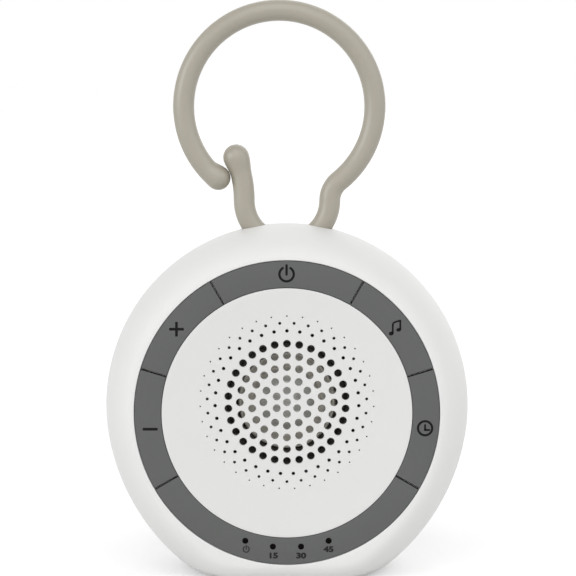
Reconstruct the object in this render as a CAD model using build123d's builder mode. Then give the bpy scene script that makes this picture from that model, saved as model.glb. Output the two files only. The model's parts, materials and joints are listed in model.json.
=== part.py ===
from build123d import *
import os
from math import atan2, cos, degrees, radians, sin, tan

os.makedirs("parts", exist_ok=True)

# A portable white noise machine that hangs from a snap hook or stands on its flat base.
# Millimetres. +Z is up, the front looks along -Y, and the base stands on Z = 0.
# Depths are Y values: more negative is nearer the front.

# --- Housing outline ---------------------------------------------------------
body_radius = 50.0  # crown of the outline, about the housing axis
flank_growth = 8.0  # the flanks' arcs, flatter by this much, take over on the way down to the base
flank_start = 10.0  # degrees below the horizontal where the flanks begin
base_drop = 4.2  # the flat base is this much nearer the housing axis than the crown is
body_depth = 46.0
rim_width = 9.0  # the rim is half an ellipse, this wide seen from the front
rim_bands = 5  # conical bands that draw each quarter of that ellipse
cavity_bands = 2
base_cut = 4.4  # the flat base cuts this much off the bottom rim
wall = 2.2

# --- Front: key channel, keys and speaker grille ------------------------------
channel_margin = 8.9  # from the outline to the key channel
channel_width = 7.9
channel_depth = 3.1
floor_thickness = 1.8
floor_ledge = 5.7  # how far the channel's floor reaches in under the grille
key_gap = 0.25  # moving clearance round each key
key_thickness = 2.2
key_travel = 0.6
divisions = [-30.0, 30.0, 73.0, 120.0, 240.0, 287.0]  # clock angles of the ring's division lines
division_gap = 0.4

# --- Sound holes ---------------------------------------------------------------
grille_lift = 2.6  # sound pattern above the housing axis
dish_depth = 1.2
dish_slope = 6.8  # width of the slope from the grille's edge to the dish's flat middle
grille_thickness = 1.4  # at the bottom of the dish
hole_pitch = 3.14
hole_rings = 5
hole_diameter = 2.1
hole_sides = 6
fine_hole_sides = 4
fine_holes = 35
fine_rings = [(19.2, 1.0, 0.0), (21.3, 0.87, 0.5)]  # radius, diameter, part of a step

# --- Snap hook -------------------------------------------------------------------
hook_rod = 5.7
hook_sides = 8  # the rod's and knobs' sections are drawn with this many flats
ring_radius = 26.5  # centreline of the hanging ring
ring_shift = -2.3
ring_rise = 31.9  # ring centre above the crown
ring_end = 229.5  # degrees, where the ring's free end stops
tip_diameter = 6.8
tip_shift = -18.9
tip_rise = 12.5  # ring's free end above the crown
leg_spread = 11.8  # half the distance between the two legs
leg_rise = 6.3  # above the crown, where both legs stand upright
post_shift = -14.0
post_rise = 18.2
head_diameter = 7.4
hook_seat = 0.15  # clearance round the hook where the housing grips it
rib_offset = 4.0  # grip ribs either side of the middle
rib_thickness = 2.0
rib_drop = 10.5  # lower end of the grip ribs, below the crown
rib_depth = 10.0

# --- Board, switches and indicators ------------------------------------------------
standoff = 5.5
board_width = 14.0
board_overhang = 0.9  # how far the board reaches out past the channel
board_thickness = 1.6
switch_size = 6.0
switch_height = 3.5
actuator_diameter = 3.5
actuator_rise = 0.8
shaft_clearance = 0.05
plunger_diameter = 3.2
leg_angle = 13.0  # snap legs either side of a key's plunger
leg_width = 3.0
leg_thickness = 1.4
leg_play = 0.3
catch_reach = 0.9
catch_height = 1.2
plunger_play = 0.5
actuator_depth = 1.9  # bore of the switches
board_play = 0.5
stake_angles = [0.0, 90.0, 180.0, 270.0]
stake_inset = 10.1  # from the channel's outer edge
stake_diameter = 1.8
stake_shoulder = 1.3
stake_rise = 0.8
lamp_inset = 5.0  # from the channel's outer edge
lamp_angles = [162.0, 174.0, 186.0, 198.0]
lamp_diameter = 1.7
lamp_length = 1.6
lamp_width = 0.8
lamp_height = 0.7
guide_bar = 1.2
board_parts_inset = 6.1
capacitor_angle = 68.0
capacitor_diameter = 6.3
capacitor_height = 7.7

# --- Grille fixing -----------------------------------------------------------------------
skirt_thickness = 1.6
pin_inset = 2.8  # from the grille's edge
pin_angles = [45.0, 135.0, 225.0, 315.0]
pin_diameter = 2.2
pin_rise = 0.8

# --- Speaker ---------------------------------------------------------------------------
speaker_diameter = 36.0
speaker_height = 16.4
speaker_sheet = 0.8
cone_diameter = 26.0
cone_depth = 3.6  # from the speaker's front to the cone's edge
cap_diameter = 11.0
cap_rise = 1.8
magnet_diameter = 18.0
magnet_height = 4.8
gasket_thickness = 1.0
gasket_inner = 16.6
collar_thickness = 1.5
collar_depth = 3.0
cone_drop = 2.7
cone_sheet = 0.5
flange_width = 1.2
coil_radius = 4.0
coil_gap = 0.4  # air round the voice coil
coil_dip = 1.5  # how far the coil reaches into the magnet
yoke_thickness = 1.2
lip_width = 0.6
roll_sheet = 0.4

# --- Batteries and their bay --------------------------------------------------------------
cell_diameter = 14.5
cell_length = 49.5
nub_diameter = 5.2
nub_length = 1.0
cell_count = 3
cell_pitch = 14.9
cell_play = 0.35
cell_room = 0.5  # between the cells and the door, in depth
cell_lift = 0.05  # the cells clear the bay's floor by this
spring_room = 3.6  # sprung end of each cell
contact_sheet = 0.4
contact_width = 9.0
bay_wall = 1.8
door_thickness = 2.0
door_margin = 2.5  # ledge that the door rests on, beyond the bay's opening
door_gap = 0.3
door_corner = 4.0
door_round = 0.5
tab_spacing = 30.0
tab_width = 6.0
tab_thickness = 1.3
tab_reach = 1.5
tab_slot_depth = 3.5
ledge_thickness = 1.8
divider_height = 3.0
divider_thickness = 1.0
notch_radius = 7.0
notch_depth = 0.8
leaf_width = 5.0
leaf_span = 9.0

# --- Small round features are drawn with flats, to keep the model light ---
small_sides = 8
hidden_sides = 24
cell_sides = 16

# --- Fasteners ------------------------------------------------------------------------------
screw_inset = 12.0  # from the outline
screw_angles = [-27.0, 27.0, 140.0, 220.0]
screw_seat = 7.0
screw_length = 15.0
screw_diameter = 2.6
head_width = 5.0
head_height = 2.0
boss_diameter = 6.5
screw_play = 0.3
pilot_room = 1.0  # of each pilot hole past its screw's end

# Depths that follow from the sizes above.
front = -body_depth / 2
back = body_depth / 2
channel_floor = front + channel_depth
floor_back = channel_floor + floor_thickness
key_back = front + key_thickness
board_front = floor_back + standoff
board_back = board_front + board_thickness
switch_top = board_front - switch_height
actuator_top = switch_top - actuator_rise
grille_back = front + dish_depth + grille_thickness
speaker_front = grille_back + gasket_thickness
speaker_back = speaker_front + speaker_height
door_inside = back - door_thickness
bay_floor = door_inside - cell_diameter - cell_room
bay_length = cell_length + nub_length + spring_room + 2 * contact_sheet
bay_height = (cell_count - 1) * cell_pitch + cell_diameter + 2 * cell_play
axis_height = body_radius - base_drop
channel_outer = body_radius - channel_margin
grille_radius = channel_outer - channel_width
floor_opening = grille_radius - floor_ledge
dish_floor = grille_radius - dish_slope
key_inner = grille_radius + key_gap
key_outer = channel_outer - key_gap
key_circle = (key_inner + key_outer) / 2
lamp_circle = channel_outer - lamp_inset
pin_circle = grille_radius - pin_inset
board_outer = channel_outer + board_overhang
board_inner = board_outer - board_width
board_parts_circle = channel_outer - board_parts_inset
screw_circle = body_radius - screw_inset
ring_height = body_radius + ring_rise
leg_height = body_radius + leg_rise
rib_foot = body_radius - rib_drop
tip_position = (tip_shift, body_radius + tip_rise)
post_head = (post_shift, body_radius + post_rise)
half_division = degrees(division_gap / 2 / key_circle)


def layer(depth):
    """Sketching plane across the housing at a depth, seen from the front, about the housing axis."""
    return Plane(origin=(0, depth, axis_height), x_dir=(1, 0, 0), z_dir=(0, -1, 0))


def clock(radius, angle):
    """Point at a clock angle, in degrees from the top and clockwise seen from the front."""
    return (radius * sin(radians(angle)), radius * cos(radians(angle)))


def facing(radius, angle):
    """Location at a clock angle whose local Y points outwards."""
    return Location((*clock(radius, angle), 0), (0, 0, -angle))


def sector(inner, outer, start, end):
    """Piece of a flat ring between two clock angles."""
    with BuildSketch() as shape:
        with BuildLine():
            rim = CenterArc((0, 0), outer, 90 - start, start - end)
            bore = CenterArc((0, 0), inner, 90 - start, start - end)
            Line(rim @ 0, bore @ 0)
            Line(rim @ 1, bore @ 1)
        make_face()
    return shape.sketch


def save(piece, name):
    """Label a finished piece and write it."""
    piece.part.label = name
    export_step(piece.part, f"parts/{name}.step")


LAMPS = ["power_lamp", "timer_lamp_short", "timer_lamp_middle", "timer_lamp_long"]
# Name, clock angle, length round the board, width across it and height behind it.
BOARD_PARTS = [
    ("sound_chip", 244.0, 9.0, 7.0, 1.6),
    ("amplifier_chip", 112.0, 5.0, 4.0, 1.5),
    ("speaker_socket", 348.0, 6.0, 4.5, 5.0),
    ("battery_socket", 180.0, 6.0, 4.5, 5.0),
]
KEYS = {
    "power_key": (divisions[0], divisions[1]),
    "sound_key": (divisions[1], divisions[2]),
    "timer_key": (divisions[2], divisions[3]),
    "quieter_key": (divisions[4], divisions[5]),
    "louder_key": (divisions[5], divisions[0] + 360),
}
key_middles = [(start + end) / 2 for start, end in KEYS.values()]
boss_points = [clock(screw_circle, angle) for angle in screw_angles]
stake_points = [clock(channel_outer - stake_inset, angle) for angle in stake_angles]


# --- Housing forms -----------------------------------------------------------------------------

def rim_points(radius, half_depth, bands):
    """Half-elliptical edge from the front face round to the rear one, as radius and depth."""
    steps = [radians(90 * step / bands) for step in range(-bands, bands + 1)]
    return [(radius - rim_width + rim_width * cos(step), half_depth * sin(step)) for step in steps]


def puck(axis_x, axis_z, radius, half_depth, bands):
    """Round body about a front-to-rear axis, with the housing's rim."""
    rim = rim_points(radius, half_depth, bands)
    with BuildPart() as form:
        with BuildSketch(Plane(origin=(axis_x, 0, axis_z), x_dir=(1, 0, 0), z_dir=(0, 0, 1))):
            with BuildLine():
                Polyline((0, -half_depth), *rim, (0, half_depth), close=True)
            make_face()
        revolve(axis=Axis((axis_x, 0, axis_z), (0, 1, 0)))
    return form.part


def lower_wedge():
    """Everything below the two radial lines where the flanks begin."""
    reach = 2 * body_radius
    drop = reach * tan(radians(flank_start))
    with BuildSketch() as shape:
        with BuildLine():
            Polyline((0, 0), (reach, -drop), (reach, -reach), (-reach, -reach), (-reach, -drop), close=True)
        make_face()
    return shape.sketch


def housing_form(inset, bands):
    """The housing's outer form, or its cavity when inset by the wall."""
    half_depth = body_depth / 2 - inset
    flank_radius = body_radius + flank_growth
    flank_x = flank_growth * cos(radians(flank_start))
    flank_z = axis_height + flank_growth * sin(radians(flank_start))
    with BuildPart() as flanks:
        add(puck(-flank_x, flank_z, flank_radius - inset, half_depth, bands))
        add(puck(flank_x, flank_z, flank_radius - inset, half_depth, bands), mode=Mode.INTERSECT)
        with BuildSketch(layer(back)):
            add(lower_wedge())
        extrude(amount=body_depth, mode=Mode.INTERSECT)
        with BuildSketch(Plane.YZ.offset(-body_radius)):
            bottom = [(depth, -reach) for reach, depth in rim_points(base_cut - inset, half_depth, bands)]
            with BuildLine():
                Polyline((-half_depth, axis_height), *bottom, (half_depth, axis_height), close=True)
            make_face()
        extrude(amount=2 * body_radius, mode=Mode.INTERSECT)
    with BuildPart() as form:
        add(puck(0, axis_height, body_radius - inset, half_depth, bands))
        with BuildSketch(layer(back)):
            add(lower_wedge())
        extrude(amount=body_depth, mode=Mode.SUBTRACT)
        add(flanks.part)
        split(bisect_by=Plane.XY.offset(inset), keep=Keep.TOP)
    return form.part


# The whole outside and the whole cavity, which the two covers share.
with BuildPart() as outside:
    add(housing_form(0, rim_bands))

with BuildPart() as cavity:
    add(housing_form(wall, cavity_bands))


# --- Snap hook: one moulding whose buried end is a U between two legs ------------------------------

def hook_path():
    """Ring, neck, buried U and post as tangent arcs in the parting plane."""
    across = leg_spread - ring_shift
    down = leg_height - ring_height
    neck = (across**2 + down**2 - ring_radius**2) / (2 * (ring_radius - across))
    meet = degrees(atan2(down, across + neck))
    with BuildLine(layer(0)) as path:
        CenterArc((ring_shift, ring_height), ring_radius, ring_end, meet - ring_end)
        CenterArc((leg_spread + neck, leg_height), neck, 180 + meet, -meet)
        CenterArc((0, leg_height), leg_spread, 0, -180)
        TangentArc((-leg_spread, leg_height), post_head, tangent=(0, 1))
    return path.line


def knob(spot, diameter):
    """Ball end of the hook's rod, turned about the depth axis."""
    centre = layer(0).from_local_coords(spot)
    with BuildPart() as ball:
        with BuildSketch(Plane(origin=centre, x_dir=(1, 0, 0), z_dir=(0, 0, 1))):
            RegularPolygon(diameter / 2, hook_sides, rotation=180 / hook_sides)
            Rectangle(diameter, diameter, align=(Align.MIN, Align.CENTER), mode=Mode.INTERSECT)
        revolve(axis=Axis(centre, (0, 1, 0)))
    return ball.part


with BuildPart() as hook:
    spine = hook_path()
    with BuildSketch(Plane(origin=spine @ 0, x_dir=(0, 1, 0), z_dir=spine % 0)):
        RegularPolygon(hook_rod / 2, hook_sides, rotation=180 / hook_sides)
    sweep(path=spine)
    add(knob(tip_position, tip_diameter))
    add(knob(post_head, head_diameter))

# The room that both covers leave for the hook's legs and U.
with BuildPart() as hook_socket:
    with BuildSketch(Plane(origin=layer(0).from_local_coords((leg_spread, leg_height)), z_dir=(0, 0, 1))):
        RegularPolygon(hook_rod / 2 + hook_seat, hook_sides, rotation=180 / hook_sides)
    revolve(axis=Axis(layer(0).from_local_coords((0, leg_height)), (0, 1, 0)), revolution_arc=180)

save(hook, "hook")


# --- Front cover: shell, key channel, and the posts behind its floor --------------------------------

with BuildPart() as front_cavity:
    add(cavity.part)
    with BuildSketch(layer(floor_back)):
        RegularPolygon(channel_outer + wall, hidden_sides, major_radius=False)
    extrude(amount=channel_depth + floor_thickness, mode=Mode.SUBTRACT)


def grip_ribs(near, far):
    """Ribs that hold the hook's U, one either side of the middle, between two depths."""
    with BuildPart() as ribs:
        with BuildSketch(layer(far)):
            with Locations((-rib_offset, rib_foot), (rib_offset, rib_foot)):
                Rectangle(rib_thickness, body_radius - wall / 2 - rib_foot, align=(Align.CENTER, Align.MIN))
        extrude(amount=far - near)
        add(outside.part, mode=Mode.INTERSECT)
    return ribs.part


with BuildPart() as front_cover:
    add(outside.part)
    split(bisect_by=layer(0), keep=Keep.TOP)
    add(front_cavity.part, mode=Mode.SUBTRACT)
    with BuildSketch(layer(channel_floor)):
        Circle(channel_outer)
    extrude(amount=channel_depth, mode=Mode.SUBTRACT)
    # Posts for the housing screws and stakes for the board.
    with BuildSketch(layer(0)):
        with Locations(boss_points):
            RegularPolygon(boss_diameter / 2, small_sides)
    extrude(amount=-floor_back)
    with BuildSketch(layer(board_front)):
        with Locations(stake_points):
            RegularPolygon(stake_diameter / 2 + stake_shoulder, small_sides)
    extrude(amount=standoff)
    with BuildSketch(layer(board_back + stake_rise)):
        with Locations(stake_points):
            RegularPolygon(stake_diameter / 2, small_sides)
    extrude(amount=board_thickness + stake_rise)
    add(grip_ribs(-rib_depth, 0))
    add(hook_socket.part, mode=Mode.SUBTRACT)
    # Pilot holes up the posts.
    with BuildSketch(layer(0)):
        with Locations(boss_points):
            RegularPolygon(screw_diameter / 2 + shaft_clearance, small_sides)
    extrude(amount=screw_length - screw_seat + pilot_room, mode=Mode.SUBTRACT)
    # Through the channel's floor: the sound opening, the keys' plungers and legs, the lamps and pins.
    with BuildSketch(layer(floor_back)):
        RegularPolygon(floor_opening, hidden_sides)
        with Locations([facing(key_circle, middle) for middle in key_middles]):
            RegularPolygon(plunger_diameter / 2 + plunger_play, small_sides)
        with Locations([facing(key_circle, middle + leg_angle) for middle in key_middles]):
            Rectangle(leg_width + 2 * leg_play, leg_thickness + 2 * leg_play)
        with Locations([facing(key_circle, middle - leg_angle) for middle in key_middles]):
            Rectangle(leg_width + 2 * leg_play, leg_thickness + 2 * leg_play)
        with Locations([facing(lamp_circle, angle) for angle in lamp_angles]):
            RegularPolygon(lamp_diameter / 2 + plunger_play, small_sides)
        with Locations([facing(pin_circle, angle) for angle in pin_angles]):
            RegularPolygon(pin_diameter / 2 + shaft_clearance, small_sides)
    extrude(amount=floor_thickness, mode=Mode.SUBTRACT)

save(front_cover, "front_cover")


# --- Rear cover: shell with the battery bay and the screw bosses ------------------------------------

door_width = bay_length + 2 * door_margin
door_height = bay_height + 2 * door_margin
cell_heights = [(index - (cell_count - 1) / 2) * cell_pitch for index in range(cell_count)]
tab_xs = [-tab_spacing / 2, tab_spacing / 2]

with BuildPart() as rear_cover:
    add(outside.part)
    split(bisect_by=layer(0), keep=Keep.BOTTOM)
    add(cavity.part, mode=Mode.SUBTRACT)
    add(grip_ribs(0, rib_depth))
    add(hook_socket.part, mode=Mode.SUBTRACT)
    with BuildSketch(layer(back - wall / 2)):
        Rectangle(bay_length + 2 * bay_wall, bay_height + 2 * bay_wall)
    extrude(amount=back - wall / 2 - bay_floor + bay_wall)
    with BuildSketch(layer(back - wall / 2)):
        RectangleRounded(door_width + bay_wall, door_height + bay_wall, door_corner)
    extrude(amount=back - wall / 2 - door_inside + ledge_thickness)
    with BuildSketch(layer(back - wall / 2)):
        with Locations(boss_points):
            RegularPolygon(boss_diameter / 2, small_sides)
    extrude(amount=back - wall / 2)
    # The bay, the door's recess and the slots for the door's tabs.
    with BuildSketch(layer(back)):
        Rectangle(bay_length, bay_height)
    extrude(amount=back - bay_floor, mode=Mode.SUBTRACT)
    with BuildSketch(layer(back)):
        RectangleRounded(door_width, door_height, door_corner)
    extrude(amount=door_thickness, mode=Mode.SUBTRACT)
    with BuildSketch(layer(door_inside)):
        with Locations([(x, -bay_height / 2) for x in tab_xs]):
            slot_height = door_margin + tab_reach + 2 * door_gap
            Rectangle(tab_width + 2 * door_gap, slot_height, align=(Align.CENTER, Align.MAX))
    extrude(amount=tab_slot_depth, mode=Mode.SUBTRACT)
    # Low ribs that part the cells.
    with BuildSketch(layer(bay_floor + divider_height)):
        with Locations([(0, height + cell_pitch / 2) for height in cell_heights[:-1]]):
            Rectangle(bay_length - 2 * contact_width, divider_thickness)
    extrude(amount=divider_height)
    # Screw holes.
    with BuildSketch(layer(screw_seat)):
        with Locations(boss_points):
            RegularPolygon(screw_diameter / 2 + screw_play, small_sides)
    extrude(amount=screw_seat, mode=Mode.SUBTRACT)
    with BuildSketch(layer(back)):
        with Locations(boss_points):
            RegularPolygon(head_width / 2 + screw_play, small_sides)
    extrude(amount=back - screw_seat, mode=Mode.SUBTRACT)

save(rear_cover, "rear_cover")

with BuildPart() as battery_door:
    with BuildSketch(layer(back)):
        RectangleRounded(door_width - 2 * door_gap, door_height - 2 * door_gap, door_corner - door_gap)
    extrude(amount=door_thickness)
    chamfer(battery_door.faces().group_by(Axis.Y)[-1].edges(), door_round)
    chamfer(battery_door.faces().group_by(Axis.Y)[0].edges(), door_round)
    # Tabs that hook in under the edge of the recess.
    with BuildSketch(layer(door_inside)):
        with Locations([(x, -door_height / 2 + door_gap + door_round) for x in tab_xs]):
            Rectangle(tab_width, door_margin - 2 * door_round, align=(Align.CENTER, Align.MIN))
    extrude(amount=tab_thickness + door_gap)
    with BuildSketch(layer(door_inside - door_gap)):
        with Locations([(x, -door_height / 2 - tab_reach) for x in tab_xs]):
            Rectangle(tab_width, door_margin + tab_reach - door_gap, align=(Align.CENTER, Align.MIN))
    extrude(amount=tab_thickness)
    # Thumb notch at the top edge.
    with BuildSketch(layer(back)):
        with Locations((0, door_height / 2)):
            Circle(notch_radius)
    extrude(amount=notch_depth, mode=Mode.SUBTRACT)

save(battery_door, "battery_door")

with BuildPart() as housing_screws:
    with BuildSketch(layer(screw_seat)):
        with Locations(boss_points):
            RegularPolygon(screw_diameter / 2, small_sides)
    extrude(amount=screw_length)
    with BuildSketch(layer(screw_seat + head_height)):
        with Locations(boss_points):
            RegularPolygon(head_width / 2, small_sides)
    extrude(amount=head_height)

save(housing_screws, "housing_screws")


# --- Front face: speaker grille, keys and indicator panel ------------------------------------------

with BuildPart() as speaker_grille:
    with BuildSketch(Plane(origin=(0, 0, axis_height), x_dir=(1, 0, 0), z_dir=(0, 0, 1))):
        with BuildLine():
            Polyline(
                (0, front + dish_depth),
                (dish_floor, front + dish_depth),
                (grille_radius, front),
                (grille_radius, channel_floor),
                (0, channel_floor),
                close=True,
            )
        make_face()
    revolve(axis=Axis((0, 0, axis_height), (0, 1, 0)))
    with BuildSketch(layer(channel_floor)):
        RegularPolygon(grille_radius - skirt_thickness, hidden_sides)
    extrude(amount=channel_floor - grille_back, mode=Mode.SUBTRACT)
    # Collar that holds the speaker, and the pins that stake the grille to the channel's floor.
    with BuildSketch(layer(speaker_front + collar_depth)):
        with Locations((0, grille_lift)):
            RegularPolygon(speaker_diameter / 2 + shaft_clearance + collar_thickness, hidden_sides)
            RegularPolygon(speaker_diameter / 2 + shaft_clearance, hidden_sides, mode=Mode.SUBTRACT)
    extrude(amount=speaker_front + collar_depth - grille_back)
    with BuildSketch(layer(floor_back + pin_rise)):
        with Locations([facing(pin_circle, angle) for angle in pin_angles]):
            RegularPolygon(pin_diameter / 2, small_sides)
    extrude(amount=floor_back + pin_rise - grille_back)
    # Sound holes: even rings of large holes, then finer ones that fade out.
    with BuildSketch(layer(grille_back)):
        with Locations((0, grille_lift)):
            RegularPolygon(hole_diameter / 2, hole_sides)
            for ring in range(1, hole_rings + 1):
                with PolarLocations(ring * hole_pitch, 6 * ring, start_angle=90):
                    RegularPolygon(hole_diameter / 2, hole_sides)
            for radius, diameter, stagger in fine_rings:
                with PolarLocations(radius, fine_holes, start_angle=90 + stagger * 360 / fine_holes):
                    RegularPolygon(diameter / 2, fine_hole_sides)
    extrude(amount=grille_thickness, mode=Mode.SUBTRACT)

save(speaker_grille, "speaker_grille")


def key_cap(start, end):
    """Key between two clock angles, with its plunger and the snap legs that keep it in the channel."""
    middle = (start + end) / 2
    with BuildPart() as cap:
        with BuildSketch(layer(key_back)):
            add(sector(key_inner, key_outer, start + half_division, end - half_division))
        extrude(amount=key_thickness)
        with BuildSketch(layer(actuator_top)):
            with Locations(facing(key_circle, middle)):
                RegularPolygon(plunger_diameter / 2, small_sides)
        extrude(amount=actuator_top - key_back)
        legs = [facing(key_circle, middle + side * leg_angle) for side in (-1, 1)]
        with BuildSketch(layer(floor_back + leg_play + catch_height)):
            with Locations(legs):
                Rectangle(leg_width, leg_thickness)
        extrude(amount=floor_back + leg_play + catch_height - key_back)
        with BuildSketch(layer(floor_back + leg_play + catch_height)):
            with Locations([leg * Location((0, leg_thickness / 2, 0)) for leg in legs]):
                Rectangle(leg_width, catch_reach, align=(Align.CENTER, Align.MIN))
        extrude(amount=catch_height)
    return cap


def switch_body(middle):
    """Tactile switch on the board, with the bore that its actuator slides in."""
    with BuildPart() as body:
        with BuildSketch(layer(board_front)):
            with Locations(facing(key_circle, middle)):
                Rectangle(switch_size, switch_size)
        extrude(amount=switch_height)
        with BuildSketch(layer(switch_top + actuator_depth)):
            with Locations(facing(key_circle, middle)):
                RegularPolygon(actuator_diameter / 2 + shaft_clearance, small_sides)
        extrude(amount=actuator_depth, mode=Mode.SUBTRACT)
    return body


def switch_actuator(middle):
    """Round plunger of a tactile switch, which a key pushes."""
    with BuildPart() as actuator:
        with BuildSketch(layer(switch_top + actuator_depth - key_travel - shaft_clearance)):
            with Locations(facing(key_circle, middle)):
                RegularPolygon(actuator_diameter / 2, small_sides)
        extrude(amount=actuator_rise + actuator_depth - key_travel - shaft_clearance)
    return actuator


for (name, (start, end)), middle in zip(KEYS.items(), key_middles):
    save(key_cap(start, end), name)
    save(switch_body(middle), name.replace("key", "switch"))
    save(switch_actuator(middle), name.replace("key", "actuator"))

lamp_places = [facing(lamp_circle, angle) for angle in lamp_angles]

with BuildPart() as indicator_panel:
    with BuildSketch(layer(channel_floor)):
        add(sector(key_inner, key_outer, divisions[3] + half_division, divisions[4] - half_division))
        with Locations(lamp_places):
            RegularPolygon(lamp_diameter / 2 + shaft_clearance, small_sides, mode=Mode.SUBTRACT)
    extrude(amount=channel_depth)

save(indicator_panel, "indicator_panel")

with BuildPart() as light_guide:
    with BuildSketch(layer(floor_back + guide_bar)):
        add(sector(lamp_circle - guide_bar, lamp_circle + guide_bar, lamp_angles[0] - 4, lamp_angles[-1] + 4))
    extrude(amount=guide_bar)
    with BuildSketch(layer(board_front - lamp_height - door_gap)):
        with Locations(lamp_places):
            RegularPolygon(lamp_diameter / 2, small_sides)
    extrude(amount=board_front - lamp_height - door_gap - front - shaft_clearance)

save(light_guide, "light_guide")


# --- Board and what is soldered to it ------------------------------------------------------------------

with BuildPart() as control_board:
    with BuildSketch(layer(board_back)):
        RegularPolygon(board_outer, hidden_sides)
        RegularPolygon(board_inner, hidden_sides, mode=Mode.SUBTRACT)
        with Locations(boss_points):
            RegularPolygon(boss_diameter / 2 + board_play, small_sides, mode=Mode.SUBTRACT)
        with Locations(stake_points):
            RegularPolygon(stake_diameter / 2 + shaft_clearance, small_sides, mode=Mode.SUBTRACT)
    extrude(amount=board_thickness)

save(control_board, "control_board")


def board_part(angle, length, width, height, radius=key_circle, depth=board_back, side=-1):
    """Rectangular part on the board: side -1 stands behind it, +1 in front of it."""
    with BuildPart() as block:
        with BuildSketch(layer(depth)):
            with Locations(facing(radius, angle)):
                Rectangle(length, width)
        extrude(amount=side * height)
    return block


for name, angle in zip(LAMPS, lamp_angles):
    save(board_part(angle, lamp_length, lamp_width, lamp_height, lamp_circle, board_front, 1), name)
for name, angle, length, width, height in BOARD_PARTS:
    save(board_part(angle, length, width, height, board_parts_circle), name)

with BuildPart() as capacitor:
    with BuildSketch(layer(board_back + capacitor_height)):
        with Locations(facing(board_parts_circle, capacitor_angle)):
            RegularPolygon(capacitor_diameter / 2, small_sides)
    extrude(amount=capacitor_height)

save(capacitor, "capacitor")


# --- Speaker ----------------------------------------------------------------------------------------------

frame_radius = speaker_diameter / 2
cup_radius = frame_radius - flange_width
step_radius = cup_radius - speaker_sheet  # ledge in the basket that the cone's surround rests on
cone_radius = cone_diameter / 2
cone_front = speaker_front + cone_depth
cone_back = cone_front + cone_drop + cone_sheet
roll_radius = (step_radius - lip_width - cone_radius) / 2
magnet_back = speaker_back - yoke_thickness
magnet_front = magnet_back - magnet_height
bore_radius = coil_radius + coil_gap


def slab(near_radius, near, far_radius, far):
    """Many-sided slice about the speaker's axis, whose flat sides taper from its near to its far radius."""
    with BuildPart() as piece:
        with BuildSketch(layer(far)):
            with Locations((0, grille_lift)):
                RegularPolygon(max(near_radius, far_radius), hidden_sides)
        extrude(amount=far - near)
        if near_radius != far_radius:
            flat = cos(radians(180 / hidden_sides))
            spread = (far_radius - near_radius) * flat
            for side in range(hidden_sides):
                x, z = clock(1, (side + 0.5) * 360 / hidden_sides)
                edge = (near_radius * flat * x, near, axis_height + grille_lift + near_radius * flat * z)
                outwards = ((far - near) * x, -spread, (far - near) * z)
                split(bisect_by=Plane(origin=edge, z_dir=outwards), keep=Keep.BOTTOM)
    return piece.part


def stack(*sections):
    """Solid about the speaker's axis through sections from front to rear, each a radius and a depth."""
    with BuildPart() as solid:
        for near, far in zip(sections, sections[1:]):
            add(slab(*near, *far))
    return solid.part


with BuildPart() as speaker_gasket:
    add(stack((frame_radius, grille_back), (frame_radius, speaker_front)))
    add(stack((gasket_inner, grille_back), (gasket_inner, speaker_front)), mode=Mode.SUBTRACT)

with BuildPart() as speaker_basket:
    flange_back = speaker_front + speaker_sheet
    add(stack((frame_radius, speaker_front), (frame_radius, flange_back)))
    add(
        stack(
            (cup_radius, flange_back),
            (cup_radius, cone_front + speaker_sheet),
            (magnet_diameter / 2 + speaker_sheet, magnet_front),
        )
    )
    add(stack((gasket_inner, speaker_front), (step_radius, cone_front)), mode=Mode.SUBTRACT)
    add(
        stack((cone_radius + speaker_sheet, cone_front), (magnet_diameter / 2, magnet_front - speaker_sheet)),
        mode=Mode.SUBTRACT,
    )
    add(stack((bore_radius, cone_front), (bore_radius, magnet_front)), mode=Mode.SUBTRACT)

with BuildPart() as speaker_surround:
    rim = step_radius - shaft_clearance
    crest = cone_radius + roll_radius
    crest_depth = cone_front - roll_radius
    add(stack((rim, cone_front - roll_sheet), (rim, cone_front)))
    add(stack((crest + roll_sheet, crest_depth), (crest + roll_radius, cone_front - roll_sheet)))
    add(stack((crest - roll_sheet, crest_depth), (cone_radius - lip_width, cone_front)), mode=Mode.SUBTRACT)

with BuildPart() as speaker_cone:
    add(stack((cone_radius, cone_front), (cone_radius, cone_front + cone_sheet)))
    add(stack((cone_radius - lip_width, cone_front + cone_sheet), (cap_diameter / 2, cone_back)))
    add(
        stack((cone_radius - lip_width, cone_front), (cap_diameter / 2, cone_back - cone_sheet)),
        mode=Mode.SUBTRACT,
    )

with BuildPart() as dust_cap:
    cap_base = cone_back - cone_sheet
    add(stack((cap_diameter / 3, cap_base - cap_rise), (cap_diameter / 2, cap_base)))

with BuildPart() as voice_coil:
    coil_end = magnet_front + coil_dip
    add(stack((coil_radius, cone_back), (coil_radius, coil_end)))
    former = coil_radius - cone_sheet
    add(stack((former, cone_back), (former, coil_end)), mode=Mode.SUBTRACT)

with BuildPart() as speaker_magnet:
    add(stack((magnet_diameter / 2, magnet_front), (magnet_diameter / 2, magnet_back)))
    add(stack((bore_radius, magnet_front), (bore_radius, magnet_back)), mode=Mode.SUBTRACT)

with BuildPart() as speaker_yoke:
    pole_radius = coil_radius - cone_sheet - coil_gap
    add(stack((magnet_diameter / 2, magnet_back), (magnet_diameter / 2, speaker_back)))
    add(stack((pole_radius, magnet_front), (pole_radius, magnet_back)))

save(speaker_gasket, "speaker_gasket")
save(speaker_basket, "speaker_basket")
save(speaker_surround, "speaker_surround")
save(speaker_cone, "speaker_cone")
save(dust_cap, "dust_cap")
save(voice_coil, "voice_coil")
save(speaker_magnet, "speaker_magnet")
save(speaker_yoke, "speaker_yoke")


# --- Cells and their contacts ------------------------------------------------------------------------------

cell_depth = bay_floor + cell_lift + cell_diameter / 2
plate_inside = bay_length / 2 - contact_sheet


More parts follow.
